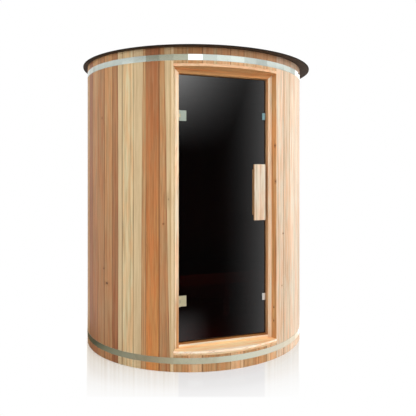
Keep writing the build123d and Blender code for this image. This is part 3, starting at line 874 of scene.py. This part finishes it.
class SAUNA_OT_screws(bpy.types.Operator):
    """Countersunk screws of bench, floor, stop strip, hinges and inner handle"""
    bl_idname = "sauna.screws"
    bl_label = "Screws"

    def execute(self, context):
        zinc = steel_material("screw_zinc", context.scene.sauna_finishes.zinc, 0.28)
        diameter = context.scene.sauna_sizes.screw_head
        head, small = self.screw_head(diameter, zinc), self.screw_head(diameter * 0.75, zinc)
        plan = (
            (head, "bench_screws", "cabin", self.bench_places()),
            (head, "floor_screws", "cabin", self.floor_places()),
            (head, "stop_screws", "cabin", self.stop_places()),
            (small, "leaf_screws", "cabin", self.leaf_places()),
            (small, "hinge_screws", "door", self.plate_places()),
            (small, "handle_screws", "door", self.handle_places()),
        )
        for screws in plan:
            self.set_screws(*screws)
        for pattern in (head, small):
            bpy.data.objects.remove(pattern)
        return {"FINISHED"}

    def screw_head(self, diameter, steel):
        """Flush head with a six-lobed socket, its face just above the origin."""
        bpy.ops.object.select_all(action="DESELECT")
        bpy.ops.mesh.primitive_cylinder_add(vertices=24, radius=diameter / 2, depth=3 * MM, location=(0, 0, -1.38 * MM))
        head = bpy.context.active_object
        bpy.ops.object.transform_apply()
        self.select_top(head)
        bpy.ops.mesh.inset(thickness=diameter * 0.03, depth=0.08 * MM)
        bpy.ops.mesh.inset(thickness=diameter * 0.2)
        switch("OBJECT")
        top = max(v.co.z for v in head.data.vertices)
        inner = {}
        for v in head.data.vertices:
            if v.co.z > top - 1e-6 and v.co.xy.length < diameter * 0.3:
                inner[v.index] = round(math.atan2(v.co.y, v.co.x) / math.tau * 24) % 4
        for wanted, factor in (((2,), 0.7), ((1, 3), 0.86)):
            for piece in (head.data.vertices, head.data.edges, head.data.polygons):
                piece.foreach_set("select", [False] * len(piece))
            for number, lobe in inner.items():
                head.data.vertices[number].select = lobe in wanted
            switch("EDIT")
            bpy.ops.mesh.select_mode(type="VERT")
            bpy.ops.transform.resize(value=(factor, factor, 1), center_override=(0, 0, top))
            switch("OBJECT")
        self.select_top(head)
        bpy.ops.mesh.extrude_region_move(TRANSFORM_OT_translate={"value": (0, 0, -1.1 * MM)})
        bpy.ops.mesh.select_all(action="SELECT")
        bpy.ops.mesh.normals_make_consistent()
        switch("OBJECT")
        head.data.materials.append(steel)
        return head

    def select_top(self, head):
        """Enters edit mode with only the topmost middle face selected."""
        switch("EDIT")
        bpy.ops.mesh.select_mode(type="FACE")
        bpy.ops.mesh.select_all(action="DESELECT")
        switch("OBJECT")
        middle = max(head.data.polygons, key=lambda face: round(face.center.z, 6) - face.center.xy.length)
        middle.select = True
        switch("EDIT")

    def set_screws(self, head, name, body, places):
        """Copies of the head at the places, each turned to its normal, as one piece."""
        copies = []
        for point, normal in places:
            copy = bpy.data.objects.new(name, head.data.copy())
            bpy.context.scene.collection.objects.link(copy)
            turn = Vector(normal).to_track_quat("Z", "Y").to_matrix().to_4x4()
            copy.matrix_world = Matrix.Translation(point) @ turn
            copies.append(copy)
        pick(*copies)
        bpy.ops.object.join()
        screws = bpy.context.active_object
        bpy.ops.object.transform_apply()
        screws.name = name
        put_in(screws, body, "door_steel")

    def bench_places(self):
        top = [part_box("bench_slats")[1][2]]
        rows = pairs([(85 + 98 * i) * MM for i in range(6)], 24 * MM)
        inner_bearers, outer_bearers = pairs([0], 290 * MM), pairs([0], 495 * MM)
        places = grid(pairs([0], 200 * MM), [690 * MM], top, UP)
        return places + grid(inner_bearers, rows, top, UP) + grid(outer_bearers, rows[:10], top, UP)

    def floor_places(self):
        top = [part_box("floor_boards")[1][2]]
        rows = pairs([150 * MM * i for i in range(-4, 5)], 45 * MM)
        places = grid([0], pairs([0], 715 * MM), top, UP)
        for bearer, reach in ((0, 650 * MM), (-450 * MM, 500 * MM), (450 * MM, 500 * MM)):
            places += grid([bearer], [y for y in rows if abs(y) < reach], top, UP)
        return places

    def stop_places(self):
        low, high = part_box("latch_stop")
        return grid([(low[0] + high[0]) / 2], [low[1]], (0.3, 0.75, 1.2, 1.65), (0, -1, 0))

    def leaf_places(self):
        return grid([-302.8 * MM], [-674 * MM], pairs(self.hinge_middles(), 24 * MM), (1, 0, 0))

    def plate_places(self):
        low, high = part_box("hinge_backplates")
        return grid([(low[0] + high[0]) / 2], [high[1]], pairs(self.hinge_middles(), 16 * MM), (0, 1, 0))

    def hinge_middles(self):
        low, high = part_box("hinge_leaves")
        return low[2] + 33 * MM, high[2] - 33 * MM

    def handle_places(self):
        low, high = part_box("handle_spacers")
        grips_low, grips_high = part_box("handle_grips")
        rows = pairs(pairs([(grips_low[2] + grips_high[2]) / 2], 87.5 * MM), 42.5 * MM)
        return grid([(low[0] + high[0]) / 2], [grips_high[1]], rows, (0, 1, 0))


WHITE = (1, 1, 1, 1)
# Place round the horizon as a part of a turn, from the rear over the left, and power of the white screens
SCREENS = (
    (0.03, 1.28), (0.067, 1.26), (0.103, 1.23), (0.141, 1.21), (0.179, 1.2), (0.217, 1.15), (0.256, 1.08),
    (0.296, 0.92), (0.336, 0.44), (0.376, 0.66), (0.416, 0.84), (0.444, 0.9), (0.448, 2.5), (0.466, 2.5),
    (0.47, 1.34), (0.516, 1.34), (0.52, 1.6), (0.556, 1.62), (0.577, 1.85), (0.617, 1.36), (0.656, 1.15),
    (0.695, 1.57), (0.734, 1.7), (0.771, 1.5), (0.809, 0.9), (0.83, 2.4), (0.89, 2.6),
)
# The same for the painted reflection of the floor at the barrel's foot: place, then red, green and blue
FLOOR_TONES = (
    (0.222, 0.17, 0.13, 0.075), (0.261, 0.15, 0.14, 0.096), (0.281, 0.265, 0.248, 0.176),
    (0.303, 0.384, 0.346, 0.25), (0.345, 0.537, 0.485, 0.38), (0.389, 0.65, 0.51, 0.38),
    (0.411, 0.763, 0.635, 0.476), (0.433, 0.96, 0.863, 0.7), (0.478, 1.07, 0.953, 0.81),
    (0.5, 1.21, 1.12, 0.99), (0.522, 1.33, 1.26, 1.16), (0.588, 1.53, 1.34, 1.23), (0.67, 1.72, 1.4, 1.18),
    (0.7, 2.0, 1.9, 1.9),
)


class SAUNA_OT_stage(bpy.types.Operator):
    """Pale floor, soft lamps, white surroundings and the camera"""
    bl_idname = "sauna.stage"
    bl_label = "Stage"

    def execute(self, context):
        scene = context.scene
        self.add_floor(scene)
        self.add_camera(scene)
        self.add_lamps()
        self.add_world(scene)
        scene.view_settings.view_transform = "Standard"
        return {"FINISHED"}

    def add_floor(self, scene):
        bpy.ops.object.select_all(action="DESELECT")
        bpy.ops.mesh.primitive_circle_add(vertices=96, radius=14, fill_type="NGON", location=(0, 0, -0.5 * MM))
        floor = bpy.context.active_object
        floor.name = "studio_floor"
        switch("EDIT")
        bpy.ops.mesh.select_all(action="SELECT")
        bpy.ops.mesh.extrude_region_move(TRANSFORM_OT_translate={"value": (0, 0, -0.05)})
        bpy.ops.mesh.select_all(action="SELECT")
        bpy.ops.mesh.normals_make_consistent()
        switch("OBJECT")
        bpy.ops.object.transform_apply()
        finish = Finish("studio_floor")
        place = finish.place()
        far = finish.length(place)
        own_colour = {"Base Color": opaque(scene.sauna_finishes.floor), "Roughness": 0.14, "IOR": 1.45}
        near = finish.wire("BsdfPrincipled", {}, own_colour)
        gloss = finish.wire("BsdfGlossy", {}, {"Color": WHITE, "Roughness": 0.22})
        # Painted reflection of the cabin on the floor, drawn as glow.
        painted_reflection = finish.glow(self.floor_painted_reflection(finish, place, far))
        with_painted_reflection = finish.blend((1 - far.rise(0.95, 1.1)) * 0.06, painted_reflection, gloss)
        lit = finish.blend(far.rise(0.77, 0.83) * finish.seen(), near, with_painted_reflection)
        shown = finish.blend(finish.ray("Glossy"), lit, finish.glow(self.floor_mirror(finish, place, far)))
        finish.node("OutputMaterial", {}, {"Surface": shown})
        floor.data.materials.append(finish.owner)

    def floor_painted_reflection(self, finish, place, far):
        """Painted reflection: a faint upright image of the cabin, painted as glow on the floor: grey under the door,
        beige under the wall.
        """
        x, y, _ = finish.split(place)
        sine, cosine = -math.sin(CAMERA_TURN), math.cos(CAMERA_TURN)
        camera_aside = CAMERA_PLACE.x * cosine - CAMERA_PLACE.y * sine
        camera_ahead = -CAMERA_PLACE.x * sine - CAMERA_PLACE.y * cosine
        ahead = x * -sine - y * cosine
        bearing = (x * cosine - y * sine - camera_aside) / (camera_ahead - ahead)
        cut = 1 - ahead.rise(1.12, 1.15)
        span = ((1.38 - far) / 0.58).highest(0.0)
        left = ((bearing * -1 - 0.15) * 1.2).highest(0.0) + 0.3
        door = bearing.within(-0.087, 0.0875, 0.0022)
        wall = bearing.within(-0.272, 0.157, 0.002) * (1 - door)
        stripes = finish.line_noise(bearing * 160.0, 2.0) * 0.9 + 0.55
        shown = finish.mix(span * door * cut * 0.255, WHITE, (0.06, 0.0, 0.0, 1))
        return finish.mix(span * span * wall * cut * stripes * left, shown, (0.365, 0.206, 0.0, 1))

    def floor_mirror(self, finish, place, far):
        """Painted reflection: the glow that steel and glass see in place of the floor, dark before the door and towards
        the left.
        """
        x, y, _ = finish.split(place)
        mirrored_camera = 2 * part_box("door_glass")[0][1] - CAMERA_PLACE.y
        slope = (x - CAMERA_PLACE.x) / (mirrored_camera - y)
        left = (1 - far.rise(1.25, 2.1)) * (1 - slope.rise(0.255, 0.335)) * 0.5
        turn = x.angle(y * -1) / math.tau + 0.5
        near = finish.bright_ramp([(place, colour) for place, *colour in FLOOR_TONES], turn)
        distant = finish.mix(self.beside_gap(slope).highest(left), (0, 0, 0, 1), (0.9, 0.9, 0.9, 1))
        return finish.mix(far.rise(1.07, 1.13), near, distant)

    def beside_gap(self, slope):
        """White panels on both sides of the dark gap that the glass mirrors."""
        right = slope.rise(0.33, 0.462, "LINEAR") ** 2.8
        return right.highest(1 - slope.rise(0.17, 0.25))

    def add_camera(self, scene):
        bpy.ops.object.camera_add(location=CAMERA_PLACE, rotation=(math.radians(90), 0, CAMERA_TURN))
        camera = bpy.context.active_object
        camera.name = "studio_camera"
        camera.data.lens = 42.84
        camera.data.shift_x = -0.03245
        camera.data.shift_y = -0.07813
        scene.camera = camera

    def add_lamps(self):
        middle, bench = (0, 0, 1.0), (-0.1, 0, 0.3)
        plan = (
            ("key_lamp", (-1.3, -4.8, 2.9), middle, 0.8, 0.9, 56),
            ("right_lamp", (5.2, -3.4, 2.6), middle, 3.0, 3.0, 165),
            ("left_lamp", (-5.0, -1.0, 2.4), middle, 2.4, 2.4, 44),
            ("top_lamp", (0.0, -1.0, 5.5), middle, 3.0, 3.0, 80),
            ("rear_lamp", (1.0, 5.0, 3.0), middle, 3.0, 3.0, 80),
            ("heater_glow", (-0.1, -0.5, 0.3), bench, 0.25, 0.25, 1.2),
        )
        for name, place, target, width, height, power in plan:
            bpy.ops.object.light_add(type="AREA", location=place)
            lamp = bpy.context.active_object
            lamp.name = name
            lamp.data.shape = "RECTANGLE"
            lamp.data.size, lamp.data.size_y = width, height
            lamp.data.energy = power
            lamp.visible_glossy = False
            towards = Vector(target) - Vector(place)
            lamp.rotation_euler = towards.to_track_quat("-Z", "Y").to_euler()
        lamp.data.color = (1.0, 0.07, 0.05)

    def add_world(self, scene):
        finish = Finish("studio_white", "worlds")
        scene.world = finish.owner
        sky_colour = finish.mix(finish.ray("Glossy"), 0.4 + finish.seen() * 0.6, self.studio_mirror(finish))
        sky = finish.wire("Background", {}, {"Color": sky_colour, "Strength": 1.0})
        finish.node("OutputWorld", {}, {"Surface": sky})

    def studio_mirror(self, finish):
        """What steel and glass mirror of the studio: white screens, a dark gap to the right, darker panels left."""
        x, y, z = finish.split(finish.wire("TexCoord", {}, {}, "Generated"))
        climb = z / (x * x + y * y) ** 0.5
        turn = x.angle(y * -1) / math.tau + 0.5
        stops = []
        for place, power in SCREENS:
            warm = 0.06 if 0.3 < place < 0.43 else -0.02
            stops.append((place, (power * (1 + warm), power, power * (1 - 2.5 * warm))))
        upper = finish.bright_ramp(stops, turn)
        slope = x / (y * -1)
        fall = slope.rise(0.42, 0.26, "LINEAR") ** 2.0 * 0.9 + 0.12
        above = ((climb - 0.04) / 0.157).highest(0.0) ** 2.0 * 2.4 * fall
        gap = self.beside_gap(slope).highest(above)
        beside = turn.rise(0.75, 0.77) * 0.5 - turn.rise(0.78, 0.8) * 0.3 + turn.rise(0.82, 0.84)
        lower = 1 - (y * -1).rise(0.0, 0.05) * (1 - gap) + beside * (1 - turn.rise(0.9, 0.93))
        return finish.mix(climb.rise(0.205, 0.225), lower, upper)


class SAUNA_PT_panel(bpy.types.Panel):
    """Sidebar panel with the sauna's pieces and settings"""
    bl_idname = "SAUNA_PT_panel"
    bl_label = "Barrel Sauna"
    bl_space_type = "VIEW_3D"
    bl_region_type = "UI"
    bl_category = "Barrel Sauna"

    def draw(self, context):
        column = self.layout.column(align=True)
        for operator in OPERATORS:
            column.operator(operator.bl_idname)
        for settings, kind in SETTINGS.items():
            box = self.layout.box()
            for name in kind.__annotations__:
                box.prop(getattr(context.scene, settings), name)


OPERATORS = (
    SAUNA_OT_stage,
    SAUNA_OT_staves,
    SAUNA_OT_hoops,
    SAUNA_OT_roof,
    SAUNA_OT_boards,
    SAUNA_OT_doorway,
    SAUNA_OT_bench,
    SAUNA_OT_glass_door,
    SAUNA_OT_ironwork,
    SAUNA_OT_handles,
    SAUNA_OT_screws,
)
SETTINGS = {"sauna_tones": SaunaWoodTones, "sauna_finishes": SaunaFinishes, "sauna_sizes": SaunaSizes}
CLASSES = (*SETTINGS.values(), *OPERATORS, SAUNA_PT_panel)


def register():
    for cls in CLASSES:
        bpy.utils.register_class(cls)
    for settings, kind in SETTINGS.items():
        setattr(bpy.types.Scene, settings, PointerProperty(type=kind))


def unregister():
    for settings in SETTINGS:
        delattr(bpy.types.Scene, settings)
    for cls in reversed(CLASSES):
        bpy.utils.unregister_class(cls)


def main():
    """Makes every piece."""
    register()
    for operator in OPERATORS:
        group, name = operator.bl_idname.split(".")
        getattr(getattr(bpy.ops, group), name)()


if __name__ == "__main__":
    main()
